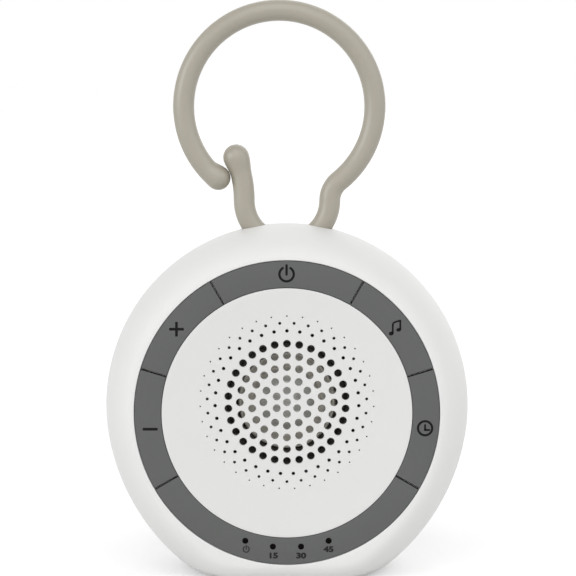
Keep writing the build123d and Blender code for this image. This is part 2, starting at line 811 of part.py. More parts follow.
def cell(height, nub_side):
    """Cylindrical cell lying across the bay, its nub against the plate on one side."""
    nub_end = (nub_side * plate_inside, cell_depth, axis_height + height)
    start = Plane(origin=nub_end, x_dir=(0, 1, 0), z_dir=(-nub_side, 0, 0))
    with BuildPart() as body:
        with BuildSketch(start):
            RegularPolygon(nub_diameter / 2, small_sides)
        extrude(amount=nub_length)
        with BuildSketch(start.offset(nub_length)):
            RegularPolygon(cell_diameter / 2, cell_sides)
        extrude(amount=cell_length)
    return body


def contact(side, plate_heights, leaf_height=None):
    """Sheet contact on an end wall of the bay, sprung where a cell's flat end meets it."""
    wall_x = side * bay_length / 2
    low = min(plate_heights) - contact_width / 2
    high = max(plate_heights) + contact_width / 2
    with BuildPart() as sheet:
        end_wall = Plane(origin=(wall_x, cell_depth, axis_height), x_dir=(0, -side, 0), z_dir=(-side, 0, 0))
        with BuildSketch(end_wall):
            with Locations((0, (low + high) / 2)):
                Rectangle(leaf_span, high - low)
        extrude(amount=contact_sheet)
        if leaf_height is not None:
            foot = plate_inside
            tip = plate_inside - spring_room
            with BuildSketch(Plane.XY.offset(axis_height + leaf_height - leaf_width / 2)):
                with BuildLine():
                    Polyline(
                        (side * foot, cell_depth - leaf_span / 2),
                        (side * tip, cell_depth - contact_sheet),
                        (side * tip, cell_depth + contact_sheet),
                        (side * foot, cell_depth + leaf_span / 2),
                        (side * foot, cell_depth + leaf_span / 2 - 2 * contact_sheet),
                        (side * (tip + contact_sheet), cell_depth),
                        (side * foot, cell_depth - leaf_span / 2 + 2 * contact_sheet),
                        close=True,
                    )
                make_face()
            extrude(amount=leaf_width)
    return sheet


low_cell, middle_cell, high_cell = cell_heights[0], cell_heights[1], cell_heights[2]
for index, height in enumerate(cell_heights):
    save(cell(height, 1 if index % 2 == 0 else -1), f"battery_{index + 1}")
save(contact(-1, [low_cell], low_cell), "contact_negative")
save(contact(1, [low_cell, middle_cell], middle_cell), "contact_bridge_right")
save(contact(-1, [middle_cell, high_cell], high_cell), "contact_bridge_left")
save(contact(1, [high_cell]), "contact_positive")
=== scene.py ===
import json
import math

import bmesh
import bpy
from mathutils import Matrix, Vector


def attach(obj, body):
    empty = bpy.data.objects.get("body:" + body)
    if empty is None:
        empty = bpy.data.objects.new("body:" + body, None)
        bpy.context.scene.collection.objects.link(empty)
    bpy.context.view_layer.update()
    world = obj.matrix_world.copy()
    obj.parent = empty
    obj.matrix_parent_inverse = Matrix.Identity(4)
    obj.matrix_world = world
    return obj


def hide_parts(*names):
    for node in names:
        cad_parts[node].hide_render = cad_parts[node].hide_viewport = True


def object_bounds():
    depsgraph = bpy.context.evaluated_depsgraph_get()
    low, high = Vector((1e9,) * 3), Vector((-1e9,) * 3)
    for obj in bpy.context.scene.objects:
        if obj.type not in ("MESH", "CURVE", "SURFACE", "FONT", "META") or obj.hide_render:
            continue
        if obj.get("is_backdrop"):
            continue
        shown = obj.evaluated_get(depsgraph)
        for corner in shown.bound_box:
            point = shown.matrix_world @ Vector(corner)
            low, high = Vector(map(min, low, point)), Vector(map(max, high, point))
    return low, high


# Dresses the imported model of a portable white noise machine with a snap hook.
# Shapes are worked out in millimetres and made in metres. X is to the right, the front looks
# along -Y, and the heights of shapes count from the housing axis, AXIS above the base.

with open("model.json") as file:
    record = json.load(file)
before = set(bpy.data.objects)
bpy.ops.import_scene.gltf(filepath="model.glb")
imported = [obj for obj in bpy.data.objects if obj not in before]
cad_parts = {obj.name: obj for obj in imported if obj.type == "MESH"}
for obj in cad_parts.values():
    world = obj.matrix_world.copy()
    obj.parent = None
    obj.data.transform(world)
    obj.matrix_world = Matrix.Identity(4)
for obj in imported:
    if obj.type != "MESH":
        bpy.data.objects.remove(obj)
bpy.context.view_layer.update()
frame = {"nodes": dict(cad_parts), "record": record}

# --- Making meshes -------------------------------------------------------------------
MM = 0.001
WELD = 0.002  # points nearer than this are joined
FINE_WELD = 0.0005  # the same for carved and printed pieces
CREASE = 32  # edges that turn by more degrees stay sharp
OVERCUT = 1.0  # how far a cutting tool reaches past a face
OVERLAP = 0.2  # how far shapes that meet run into each other
ROOT = 0.5  # how far tools and joined blocks start behind the face that they begin at
TINY = 1e-6

# --- Housing -------------------------------------------------------------------------
BODY_RADIUS = 50.0
FLANK_GROWTH = 8.0  # how much larger the flanks' arcs are than the crown's
FLANK_START = math.radians(10)
AXIS = 45.8
HALF_DEPTH = 23.0
RIM = 9.0
BASE_CUT = 4.4
BASE_CORNER = 3.0  # rounds the flanks into the base
BASE_BLEND = 0.8  # rounds the base into the rim
WALL = 2.2
SEAM = 0.16  # bevel along the parting line between the covers
COLUMNS = 320

# --- Front ---------------------------------------------------------------------------
CHANNEL_OUTER = 41.12
CHANNEL_FLOOR = -19.9
FLOOR_BACK = -18.1
FLOOR_OPENING = 27.5
LIP = 0.25  # rounding of the channel's front edge
GRILLE_RADIUS = 33.66
GRILLE_EDGE = 0.08  # rounding of the disc's edge
GRILLE_BACK = -20.4
GRILLE_SKIRT = 31.6
GRILLE_LIFT = 2.8  # sound holes' middle above the housing axis
GRILLE_COLUMNS = 180
GRILLE_STEPS = 36
GRILLE_CREASE = 28
BACK_RING = 8.0  # splits the disc's back face
DISH_DEPTH = 1.2
DISH_POWER = 2.4  # how flat the dish's middle is
DISH_MARGIN = 0.3  # the dish's rings are spaced from this far inside the disc's edge
KEY_GAP = 0.15
KEY_BACK = -20.8
KEY_ROUND = 0.18
KEY_CIRCLE = 37.15
DIVISION_GAP = 0.5
KEYS = {
    "power_key": (-30.0, 30.0),
    "sound_key": (30.0, 73.0),
    "timer_key": (73.0, 120.0),
    "quieter_key": (240.0, 287.0),
    "louder_key": (287.0, 330.0),
}
PANEL = (120.0, 240.0)
PLUNGER_RADIUS = 1.5
PLUNGER_TIP = -17.0

# --- Sound holes ---------------------------------------------------------------------
HOLE_PITCH = 3.17
HOLE_RINGS = 5
HOLE_RADIUS = 1.05
HOLE_SIDES = 24
HOLE_BEVEL = 0.1
HOLE_FLARE = 1.5  # how much wider than deep the bevel is
HOLE_CLEARANCE = 0.6  # how far the holes' tools stand out of the dish
FINE_HOLES = 35
FINE_SIDES = 14
# Radius of a ring of fine holes, radius of its holes, and its turn as a part of a step.
FINE_RINGS = [(19.33, 0.48, 0.0), (21.45, 0.4, 0.5), (23.35, 0.2, 0.0)]

# --- Speaker behind the holes --------------------------------------------------------
CONE_RADIUS = 13.3
CONE_CREASE = 50
CONE_BACK = -13.1  # the cone's depth at the cap
CONE_RISE = 2.3  # how much nearer the front its edge is
CONE_CURVE = 1.2
CONE_TUCK = 0.4  # how far it reaches in under the cap
CONE_BAND = 1.0  # width of the band at its edge
CONE_SHEET = 0.5  # how far its back lies behind its front at the cap
EDGE_BEAD = (CONE_RADIUS - 0.6, -15.7, 0.55)  # radius, depth and size
CONE_STEPS = 8
CAP_RADIUS = 9.0
CAP_BACK = -13.2
CAP_RISE = 2.6
CAP_STEPS = 11
CAP_LIP = 0.2  # how far the cap's rim turns back
ROLL_BACK = -15.2
ROLL_SIZE = 1.3
ROLL_PLACE = 1.5  # how far outside the cone's edge its middle lies
SURROUND_RADIUS = 15.95
SURROUND_BACK = -15.0

# --- Lamps and legends ---------------------------------------------------------------
LAMP_CIRCLE = 36.35
LAMP_ANGLES = [162.0, 174.0, 186.0, 198.0]
LAMP_RADIUS = 0.78
LAMP_PLAY = 0.04
LAMP_BEVEL = 0.08
LAMP_FRONT = -22.95
LAMP_BACK = -18.0
NUMBER_SIZE = 2.05
NUMBER_STRETCH = 1.3
NUMBER_WEIGHT = 0.1
INK = 0.02  # printed legends stand this proud
# The legends' middles, X and height.
POWER_SPOT = (-0.1, 37.45)
NOTE_SPOT = (29.15, 22.85)
CLOCK_SPOT = (37.1, -4.02)
MINUS_SPOT = (-36.75, -4.28)
PLUS_SPOT = (-29.59, 22.68)
SMALL_POWER_SPOT = (-10.99, -36.85)
NUMBER_SPOTS = {"15": (-3.75, -38.65), "30": (3.8, -38.65), "45": (11.25, -36.9)}
POWER_OPENING = 32  # half the opening of the power symbol's circle, in degrees
BAR_STROKE = 0.48  # stems and beam of the note
HAND_STROKE = 0.85  # the clock's hands, as a part of its ring's stroke

# --- Hook ----------------------------------------------------------------------------
ROD = 2.9
RING_RADIUS = 26.32
RING_CENTRE = (-2.12, 82.2)
RING_END = math.radians(229.5)
LEG_SPREAD = 11.8
LEG_HEIGHT = 56.3
POST_HEAD = (-14.0, 68.2)
HEAD_RADIUS = 3.6
HEAD_TURN = 5.0  # length over which the post swells into its head
TIP_BALL = (-18.95, 62.55)
TIP_RADIUS = 3.4
TIP_TURN = 4.5  # length over which the ring turns and swells into its ball
HOOK_CREASE = 60
SOCKET_GAP = 0.15
SOCKET_RISE = 1.0  # how far above the U between the legs the socket's tool reaches
LEG_MARGIN = 0.2  # points this far outside the legs still count as theirs

# --- Rear ----------------------------------------------------------------------------
DOOR = (59.3, 49.4)
DOOR_GAP = 0.3
DOOR_CORNER = 3.7
DOOR_INSIDE = 21.0
DOOR_ROUND = 0.5
MOUTH_BEVEL = 0.25  # width of the bevel round the door's recess and the screw holes
MOUTH_DEPTH = 0.2
MOUTH_RISE = 0.05  # how far outside the face the bevel's tool ends
BAY = (54.9, 45.0)
BAY_FLOOR = 6.0
BAY_WALL = 1.8
BACK_TURN = 80  # how far round the rim's inside the rear wall starts, in degrees
DIVIDER_ENDS = 9.0
DIVIDER_RISE = 3.0
DIVIDER_HALF = 0.5
TAB_XS = (-15.0, 15.0)
TAB_HALF = 3.0
TAB_INSIDE = 19.4
TAB_OUTSIDE = 20.7
TAB_REACH = 1.8
TAB_ROOT = 2.0  # height of the block that joins a tab to the door
TAB_HOLD = 1.5  # height of the tab itself inside the door
SLOT_PLAY = 0.3
SLOT_DEPTH = 3.5
SLOT_REACH = 4.6
NOTCH_RADIUS = 7.0
NOTCH_DEPTH = 0.8
# Notch wall: steps out from NOTCH_RADIUS, and depths below the door's face.
NOTCH_WALL = [(-0.3, NOTCH_DEPTH), (-0.05, NOTCH_DEPTH - 0.15), (0, 0.12), (0.2, -0.1), (0.2, -OVERCUT)]
SCREW_CIRCLE = 38.0
SCREW_ANGLES = [-27.0, 27.0, 140.0, 220.0]
SCREW_SEAT = 7.0
SCREW_LENGTH = 15.0
SCREW_SHANK = 1.25
SCREW_HEAD = 2.5
SCREW_SIDE = 0.8  # height of the head's side
SCREW_TAPER = 0.05
SCREW_DOME = 1.2
SHANK_HOLE = 1.6
HEAD_HOLE = 2.8
BOSS_RADIUS = 3.25
BOSS_TOP = 22.0
CROSS_REACH = 1.5
CROSS_HALF = 0.28
CROSS_FLOOR = 1.0  # the cross's floor above the seat
CELL_PITCH = 14.9
CELL_DEPTH = 13.3
CELL_PLAY = 0.4  # between a cell's nub and the bay's end
CELL_SIDES = 64
CELL_CREASE = 35
# Half section of an AA cell: radius, and distance from the nub's end.
CELL_PROFILE = [
    (0.001, 0), (2.5, 0), (2.6, 0.15), (2.65, 1.0), (5.6, 1.05), (5.7, 1.25), (6.6, 1.25), (7.0, 1.45),
    (7.2, 1.8), (7.25, 2.2), (7.25, 49.9), (7.1, 50.3), (6.8, 50.5), (6.2, 50.5), (6.1, 50.35),
    (0.001, 50.35),
]


# --- Small geometry helpers ----------------------------------------------------------

def rel(x, y, z):
    """Point in millimetres whose height counts from the housing axis."""
    return Vector((x, y, AXIS + z))


def at_depth(point, depth):
    """Point from an X and height pair, with a depth between them."""
    return rel(point[0], depth, point[1])


def clock(radius, angle):
    """X and height at a clock angle, in degrees clockwise from the top seen from the front."""
    return radius * math.sin(math.radians(angle)), radius * math.cos(math.radians(angle))


def full_turn(count, offset=0.0):
    """Even directions round a circle, in radians from +X towards +Z."""
    return [2 * math.pi * (step + offset) / count for step in range(count)]


def quarter_turn(steps):
    """Angles from 0 to 90 degrees, in radians."""
    return [math.radians(90 * step / steps) for step in range(steps + 1)]


def ring(radius, depth, turns, centre=(0.0, 0.0)):
    """Circle across the housing at a depth, with a point in each direction."""
    x, z = centre
    return [rel(x + radius * math.cos(turn), depth, z + radius * math.sin(turn)) for turn in turns]


def skin(loops, closed=False):
    """Vertices and faces that join loops of equal length, capped at both ends unless closed."""
    count = len(loops[0])
    verts = [point for loop in loops for point in loop]
    faces = []
    pairs = len(loops) if closed else len(loops) - 1
    for row in range(pairs):
        low = row * count
        high = (row + 1) % len(loops) * count
        for step in range(count):
            after = (step + 1) % count
            faces.append((low + step, low + after, high + after, high + step))
    if not closed:
        faces.append(tuple(reversed(range(count))))
        faces.append(tuple(range(len(verts) - count, len(verts))))
    return verts, faces


def place(name, data):
    """New object in the scene that holds the data."""
    obj = bpy.data.objects.new(name, data)
    bpy.context.scene.collection.objects.link(obj)
    return obj


def baked(obj):
    """Mesh of an object with its modifiers or its text worked out."""
    bpy.context.view_layer.update()
    return bpy.data.meshes.new_from_object(obj.evaluated_get(bpy.context.evaluated_depsgraph_get()))


def clean(mesh, weld, crease):
    """Welds doubled points, turns normals outwards and sets the creases."""
    work = bmesh.new()
    work.from_mesh(mesh)
    bmesh.ops.remove_doubles(work, verts=work.verts, dist=weld * MM)
    bmesh.ops.dissolve_degenerate(work, edges=work.edges, dist=weld * MM / 2)
    bmesh.ops.recalc_face_normals(work, faces=work.faces)
    work.to_mesh(mesh)
    work.free()
    mesh.shade_smooth()
    mesh.set_sharp_from_angle(angle=math.radians(crease))


def make(name, parts, weld=WELD, crease=CREASE):
    """Object from one or more (vertices, faces) pairs in millimetres."""
    verts, faces = [], []
    for some_verts, some_faces in parts:
        offset = len(verts)
        verts += [point * MM for point in some_verts]
        faces += [tuple(index + offset for index in face) for face in some_faces]
    mesh = bpy.data.meshes.new(name)
    mesh.from_pydata(verts, [], faces)
    obj = place(name, mesh)
    clean(mesh, weld, crease)
    return obj


def carve(target, tool, operation="DIFFERENCE", crease=CREASE):
    """Applies a boolean to the target with the tool, which is then removed."""
    modifier = target.modifiers.new("carve", "BOOLEAN")
    modifier.operation = operation
    modifier.solver = "EXACT"
    modifier.object = tool
    result = baked(target)
    target.modifiers.clear()
    target.data = result
    clean(result, FINE_WELD, crease)
    bpy.data.objects.remove(tool)


def dress(obj, material, body, slot, *nodes):
    """Gives a piece its material and its body, and hides the CAD nodes that it stands for."""
    obj.data.materials.clear()
    obj.data.materials.append(material)
    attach(obj, body)
    if nodes:
        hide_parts(*nodes)


def turned(profile, centre=(0.0, 0.0), count=96, closed=False):
    """Solid of revolution about the depth axis through a point, from radius and depth pairs.

    A closed profile makes a ring, and an open one is capped at both ends.
    """
    turns = full_turn(count)
    return skin([ring(max(radius, 0.001), depth, turns, centre) for radius, depth in profile], closed)


def block(low, high):
    """Box between two corners, with heights from the housing axis."""
    corners = [(low[0], low[2]), (high[0], low[2]), (high[0], high[2]), (low[0], high[2])]
    return skin([[at_depth(corner, depth) for corner in corners] for depth in (low[1], high[1])])


def rounded_rectangle(width, height, corner, depth, steps=8):
    """Loop of a rounded rectangle across the housing at a depth."""
    loop = []
    for quarter, (side_x, side_z) in enumerate([(1, 1), (-1, 1), (-1, -1), (1, -1)]):
        for step in range(steps + 1):
            turn = math.radians(90 * (quarter + step / steps))
            x = side_x * (width / 2 - corner) + corner * math.cos(turn)
            z = side_z * (height / 2 - corner) + corner * math.sin(turn)
            loop.append(rel(x, depth, z))
    return loop


def quarter_round(radius, steps=4):
    """Inset and drop pairs of a rounded edge, from the side up to the face."""
    return [(radius * (1 - math.cos(turn)), radius * (1 - math.sin(turn))) for turn in quarter_turn(steps)]


# --- Materials -----------------------------------------------------------------------

GRAIN_DEPTH = 0.02
DRIFT_LENGTH = 18  # size of the drifts of tone
GLOSS_SWING = 0.05


def plastic(name, color, roughness, grain=0.35, bump=0.25, tone=0.03, specular=0.5, coat=0.0, metallic=0.0):
    """Moulded material: a fine grain in the surface, faint drifts of tone and slightly uneven gloss."""
    material = bpy.data.materials.new(name)
    material.use_nodes = True
    nodes, links = material.node_tree.nodes, material.node_tree.links
    shader = nodes["Principled BSDF"]
    shader.inputs["Metallic"].default_value = metallic
    shader.inputs["Coat Weight"].default_value = coat
    shader.inputs["Specular IOR Level"].default_value = specular
    coordinates = nodes.new("ShaderNodeTexCoord")

    fine = nodes.new("ShaderNodeTexNoise")
    fine.inputs["Scale"].default_value = 1 / (grain * MM)
    fine.inputs["Detail"].default_value = 3
    links.new(coordinates.outputs["Object"], fine.inputs["Vector"])
    relief = nodes.new("ShaderNodeBump")
    relief.inputs["Strength"].default_value = bump
    relief.inputs["Distance"].default_value = GRAIN_DEPTH * MM
    links.new(fine.outputs["Fac"], relief.inputs["Height"])
    links.new(relief.outputs["Normal"], shader.inputs["Normal"])

    drift = nodes.new("ShaderNodeTexNoise")
    drift.inputs["Scale"].default_value = 1 / (DRIFT_LENGTH * MM)
    drift.inputs["Detail"].default_value = 4
    links.new(coordinates.outputs["Object"], drift.inputs["Vector"])
    shade = nodes.new("ShaderNodeMix")
    shade.data_type = "RGBA"
    shade.inputs["A"].default_value = (*[channel * (1 - tone) for channel in color], 1)
    shade.inputs["B"].default_value = (*[min(channel * (1 + tone), 1) for channel in color], 1)
    links.new(drift.outputs["Fac"], shade.inputs["Factor"])
    links.new(shade.outputs["Result"], shader.inputs["Base Color"])

    gloss = nodes.new("ShaderNodeMapRange")
    gloss.inputs["To Min"].default_value = roughness - GLOSS_SWING
    gloss.inputs["To Max"].default_value = roughness + GLOSS_SWING
    links.new(fine.outputs["Fac"], gloss.inputs["Value"])
    links.new(gloss.outputs["Result"], shader.inputs["Roughness"])
    return material


SHELL_FINISH = {"grain": 0.30, "bump": 0.18, "tone": 0.012, "specular": 0.3}
PRINT_FINISH = {"grain": 0.15, "bump": 0.1, "tone": 0.1, "specular": 0.1}
white = plastic("white_abs", (0.785, 0.785, 0.775), 0.55, **SHELL_FINISH)
# The grille's white is darker than the shell's: painted shade for the recessed, dished disc.
white_grille = plastic("grille_white_painted_shade", (0.735, 0.735, 0.725), 0.55, **SHELL_FINISH)
key_grey = plastic(
    "soft_key_grey", (0.106, 0.110, 0.107), 0.6, grain=0.22, bump=0.3, tone=0.04, specular=0.35
)
hook_grey = plastic(
    "hook_polypropylene", (0.342, 0.314, 0.253), 0.42, grain=0.6, bump=0.2, tone=0.04, specular=1.0
)
ink = plastic("legend_ink", (0.008, 0.008, 0.008), 0.7, **PRINT_FINISH)
faint_ink = plastic("small_legend_ink", (0.018, 0.018, 0.017), 0.7, **PRINT_FINISH)
smoked = plastic("smoked_window", (0.003, 0.002, 0.002), 0.5, grain=0.5, bump=0.03, tone=0.1, specular=0.03)
cone_paper = plastic("cone_paper", (0.86, 0.83, 0.76), 0.4, grain=0.25, bump=0.4, tone=0.06, metallic=0.55)
cap_paper = plastic(
    "dust_cap_paper", (0.84, 0.83, 0.80), 0.42, grain=0.25, bump=0.12, tone=0.05, metallic=0.5
)
rubber = plastic("black_rubber", (0.018, 0.018, 0.018), 0.6, grain=0.3, bump=0.3, tone=0.1)
foam = plastic("black_foam", (0.16, 0.15, 0.14), 0.9, grain=0.2, bump=0.8, tone=0.2, specular=0.2)
steel = plastic("zinc_steel", (0.55, 0.55, 0.54), 0.32, grain=0.5, bump=0.15, tone=0.06, metallic=1.0)
nickel = plastic("nickel_sheet", (0.62, 0.60, 0.56), 0.28, grain=0.5, bump=0.12, tone=0.06, metallic=1.0)
jacket = plastic("cell_jacket", (0.16, 0.165, 0.17), 0.3, grain=0.8, bump=0.05, tone=0.05, coat=0.3)
ferrite = plastic("ferrite", (0.05, 0.05, 0.052), 0.6, grain=0.4, bump=0.5, tone=0.15)
green = plastic("solder_mask", (0.02, 0.12, 0.05), 0.35, grain=0.5, bump=0.2, tone=0.1)
black = plastic("black_moulding", (0.02, 0.02, 0.02), 0.45, grain=0.3, bump=0.2, tone=0.1)
# Dark basket colour: painted shade for the dark seen through the outer sound holes.
basket_painted_shade = plastic("dark_basket_painted_shade", (0.10, 0.095, 0.09), 0.6, grain=0.3, bump=0.3, tone=0.1, specular=0.3)
nylon = plastic("natural_nylon", (0.70, 0.68, 0.62), 0.45, grain=0.3, bump=0.2, tone=0.03)
copper = plastic("enamelled_copper", (0.60, 0.28, 0.12), 0.35, grain=0.2, bump=0.4, tone=0.1, metallic=1.0)


# --- Outline of the housing ----------------------------------------------------------

DIRECTIONS = full_turn(COLUMNS, 0.5)  # of the outline's points


def ease(amount):
    """Smooth step from 0 to 1."""
    amount = min(max(amount, 0), 1)
    return amount * amount * (3 - 2 * amount)


def smooth_min(first, second, reach):
    """The lesser of two lengths, rounded where they are close."""
    near = max(reach - abs(first - second), 0) / reach
    return min(first, second) - near * near * reach / 4


def outline(turn, inset, base=0.0):
    """Distance from the housing axis to the inset outline in a direction. base raises the flat."""
    across, up = abs(math.cos(turn)), math.sin(turn)
    if up >= -math.sin(FLANK_START):
        return BODY_RADIUS - inset
    centre_x = -FLANK_GROWTH * math.cos(FLANK_START)
    centre_z = FLANK_GROWTH * math.sin(FLANK_START)
    along = across * centre_x + up * centre_z
    flank = along + math.sqrt(along**2 - FLANK_GROWTH**2 + (BODY_RADIUS + FLANK_GROWTH - inset) ** 2)
    lift = -smooth_min(BASE_CUT - inset, -base, BASE_BLEND)
    return smooth_min(flank, (AXIS - lift) / -up, BASE_CORNER)


def inset_at(turn, radius):
    """Inset at which the outline comes down to a radius, found by halving."""
    low, high = 0.0, RIM
    for _ in range(30):
        middle = (low + high) / 2
        if outline(turn, middle) > radius:
            low = middle
        else:
            high = middle
    return low


def outline_loop(inset, depth, least=0.0, base=0.0):
    """The outline at an inset. Where it would come nearer the axis than least, it stays on the rim."""
    loop = []
    for turn in DIRECTIONS:
        radius = outline(turn, inset, base)
        y = depth
        if radius < least:
            radius = least
            level = 1 - inset_at(turn, least) / RIM
            y = math.copysign(HALF_DEPTH * math.sqrt(1 - level**2), depth)
        loop.append(rel(radius * math.cos(turn), y, radius * math.sin(turn)))
    return loop


def rim_loops(side, steps=30, least=0.0):
    """Loops over the half-elliptical rim, from the parting line to a face."""
    loops = [outline_loop(SEAM, 0), outline_loop(0, side * SEAM)]
    for turn in quarter_turn(steps)[1:]:
        inset = RIM * (1 - math.cos(turn))
        loops.append(outline_loop(inset, side * HALF_DEPTH * math.sin(turn), least))
    return loops


def cavity_loops(side, last_turn, steps=6):
    """Loops over the inside of the rim, from a turn near the face back to the parting plane."""
    loops = []
    for step in range(steps, -1, -1):
        turn = math.radians(last_turn * step / steps)
        inset = WALL + RIM * (1 - math.cos(turn))
        loops.append(outline_loop(inset, side * (HALF_DEPTH - WALL) * math.sin(turn), base=WALL))
    return loops


def box_loop(half_width, half_height, depth):
    """Rectangle whose points lie in the outline's directions."""
    loop = []
    for turn in DIRECTIONS:
        across, up = math.cos(turn), math.sin(turn)
        reach = min(half_width / max(abs(across), TINY), half_height / max(abs(up), TINY))
        loop.append(rel(reach * across, depth, reach * up))
    return loop


# --- Hook ----------------------------------------------------------------------------

def hook_line(spacing=1.0):
    """Centre line of the hook as points, from the ring's free end to the post's head."""
    across = LEG_SPREAD - RING_CENTRE[0]
    down = LEG_HEIGHT - RING_CENTRE[1]
    neck = (across**2 + down**2 - RING_RADIUS**2) / (2 * (RING_RADIUS - across))
    meet = math.atan2(down, across + neck)
    rise = POST_HEAD[1] - LEG_HEIGHT
    lean = POST_HEAD[0] + LEG_SPREAD
    post = (lean**2 + rise**2) / (2 * lean)
    sweep = math.atan2(rise, abs(post - lean))
    # Ring, neck, the U inside the housing and the post: centre, radius, start and span.
    arcs = [
        (RING_CENTRE, RING_RADIUS, RING_END, meet - RING_END),
        ((LEG_SPREAD + neck, LEG_HEIGHT), neck, math.pi + meet, -meet),
        ((0.0, LEG_HEIGHT), LEG_SPREAD, 0.0, -math.pi),
        ((post - LEG_SPREAD, LEG_HEIGHT), abs(post), 0.0, sweep),
    ]
    points = []
    for (x, z), radius, start, span in arcs:
        count = max(int(abs(span) * radius / spacing), 4)
        for step in range(count + 1):
            turn = start + span * step / count
            point = Vector((x + radius * math.cos(turn), 0, z + radius * math.sin(turn)))
            if not points or (point - points[-1]).length > spacing / 4:
                points.append(point)
    # The ring's free end turns in to its ball.
    first = points[0].copy()
    aside = Vector((TIP_BALL[0], 0, TIP_BALL[1])) - first
    return [point + aside * (1 - ease((point - first).length / TIP_TURN)) for point in points]


def tube(points, radius_at, sides=40, caps=6):
    """Round rod along points in the parting plane, with rounded ends. radius_at takes the index."""
    last = len(points) - 1
    loops = []
    turns = full_turn(sides)
    cap_turns = [math.radians(90 * (step + 0.5) / caps) for step in range(caps)]

    def section(centre, along, radius):
        outwards = Vector((along.z, 0, -along.x))
        middle = rel(0, 0, 0) + centre
        return [
            middle + outwards * (radius * math.cos(turn)) + Vector((0, radius * math.sin(turn), 0))
            for turn in turns
        ]

    for index, point in enumerate(points):
        along = (points[min(index + 1, last)] - points[max(index - 1, 0)]).normalized()
        radius = radius_at(index)
        if index == 0:
            for turn in cap_turns:
                centre = point - along * (radius * math.cos(turn))
                loops.append(section(centre, along, radius * math.sin(turn)))
        loops.append(section(point, along, radius))
        if index == last:
            for turn in reversed(cap_turns):
                centre = point + along * (radius * math.cos(turn))
                loops.append(section(centre, along, radius * math.sin(turn)))
    return skin(loops)


hook_points = hook_line()


def hook_radius(index):
    """Rod radius: it swells into the ring's tip and the post's head."""
    if index < (len(hook_points) - 1) / 2:
        away = ease((hook_points[index] - hook_points[0]).length / TIP_TURN)
        return ROD + (TIP_RADIUS - ROD) * (1 - away)
    away = ease((hook_points[index] - hook_points[-1]).length / HEAD_TURN)
    return ROD + (HEAD_RADIUS - ROD) * (1 - away)


def hook_socket():
    """Tool that clears the covers round the hook's legs."""
    legs = [
        point
        for point in hook_points
        if point.z < LEG_HEIGHT + SOCKET_RISE and abs(point.x) <= LEG_SPREAD + LEG_MARGIN
    ]
    return make("socket_tool", [tube(legs, lambda index: ROD + SOCKET_GAP)])


hook = make("snap_hook", [tube(hook_points, hook_radius)], crease=HOOK_CREASE)
dress(hook, hook_grey, "housing", "warm_grey_hook", "hook")

# --- Front cover ---------------------------------------------------------------------

front_loops = rim_loops(-1, least=CHANNEL_OUTER + LIP)
for inset, drop in reversed(quarter_round(LIP)):
    front_loops.append(ring(CHANNEL_OUTER + inset, -HALF_DEPTH + drop, DIRECTIONS))
for radius, depth in (
    (CHANNEL_OUTER, CHANNEL_FLOOR),
    (FLOOR_OPENING, CHANNEL_FLOOR),
    (FLOOR_OPENING, FLOOR_BACK),
):
    front_loops.append(ring(radius, depth, DIRECTIONS))
floor_turn = math.degrees(math.asin(-FLOOR_BACK / (HALF_DEPTH - WALL)))
front_loops += cavity_loops(-1, floor_turn)
front_shell = make("front_shell", [skin(front_loops, closed=True)])
carve(front_shell, hook_socket())
dress(front_shell, white, "housing", "white_shell", "front_cover")

# --- Rear cover ----------------------------------------------------------------------

bay_half_x, bay_half_z = BAY[0] / 2, BAY[1] / 2
rear_loops = [
    box_loop(bay_half_x + BAY_WALL, bay_half_z + BAY_WALL, depth)
    for depth in (BAY_FLOOR - BAY_WALL, HALF_DEPTH - WALL - BAY_WALL)
]
rear_loops += cavity_loops(1, BACK_TURN)
rear_loops += rim_loops(1)
rear_shell = make("rear_shell", [skin(rear_loops)])
carve(rear_shell, hook_socket())

screw_spots = [clock(SCREW_CIRCLE, angle) for angle in SCREW_ANGLES]
bosses = [turned([(BOSS_RADIUS, 0.0), (BOSS_RADIUS, BOSS_TOP)], spot, 48) for spot in screw_spots]
carve(rear_shell, make("boss_tool", bosses), "UNION")

recess_wide = DOOR[0] + 2 * DOOR_GAP
recess_high = DOOR[1] + 2 * DOOR_GAP
# The mouths of the recess and of the screw holes: widening and depth.
mouth = [
    (0, HALF_DEPTH - MOUTH_DEPTH),
    (MOUTH_BEVEL, HALF_DEPTH + MOUTH_RISE),
    (MOUTH_BEVEL, HALF_DEPTH + OVERCUT),
]
recess_corner = DOOR_CORNER + DOOR_GAP
recess = [
    rounded_rectangle(recess_wide + 2 * wider, recess_high + 2 * wider, recess_corner + wider, depth)
    for wider, depth in [(0, DOOR_INSIDE)] + mouth
]
screw_hole = [(SHANK_HOLE, -OVERCUT), (SHANK_HOLE, SCREW_SEAT), (HEAD_HOLE, SCREW_SEAT)]
screw_hole += [(HEAD_HOLE + wider, depth) for wider, depth in mouth]
tools = [skin(recess)] + [turned(screw_hole, spot, 64) for spot in screw_spots]
carve(rear_shell, make("recess_tool", tools))

bay = block((-bay_half_x, BAY_FLOOR, -bay_half_z), (bay_half_x, DOOR_INSIDE + ROOT, bay_half_z))
carve(rear_shell, make("bay_tool", [bay]))
slot_half = TAB_HALF + SLOT_PLAY
slots = [
    block(
        (x - slot_half, DOOR_INSIDE - SLOT_DEPTH, -bay_half_z - SLOT_REACH),
        (x + slot_half, DOOR_INSIDE + OVERLAP, -bay_half_z + OVERLAP),
    )
    for x in TAB_XS
]
carve(rear_shell, make("slot_tool", slots))
divider_end = bay_half_x - DIVIDER_ENDS
dividers = [
    block(
        (-divider_end, BAY_FLOOR - ROOT, height - DIVIDER_HALF),
        (divider_end, BAY_FLOOR + DIVIDER_RISE, height + DIVIDER_HALF),
    )
    for height in (-CELL_PITCH / 2, CELL_PITCH / 2)
]
carve(rear_shell, make("divider_tool", dividers), "UNION")
dress(rear_shell, white, "housing", "white_shell", "rear_cover")

# --- Battery door --------------------------------------------------------------------


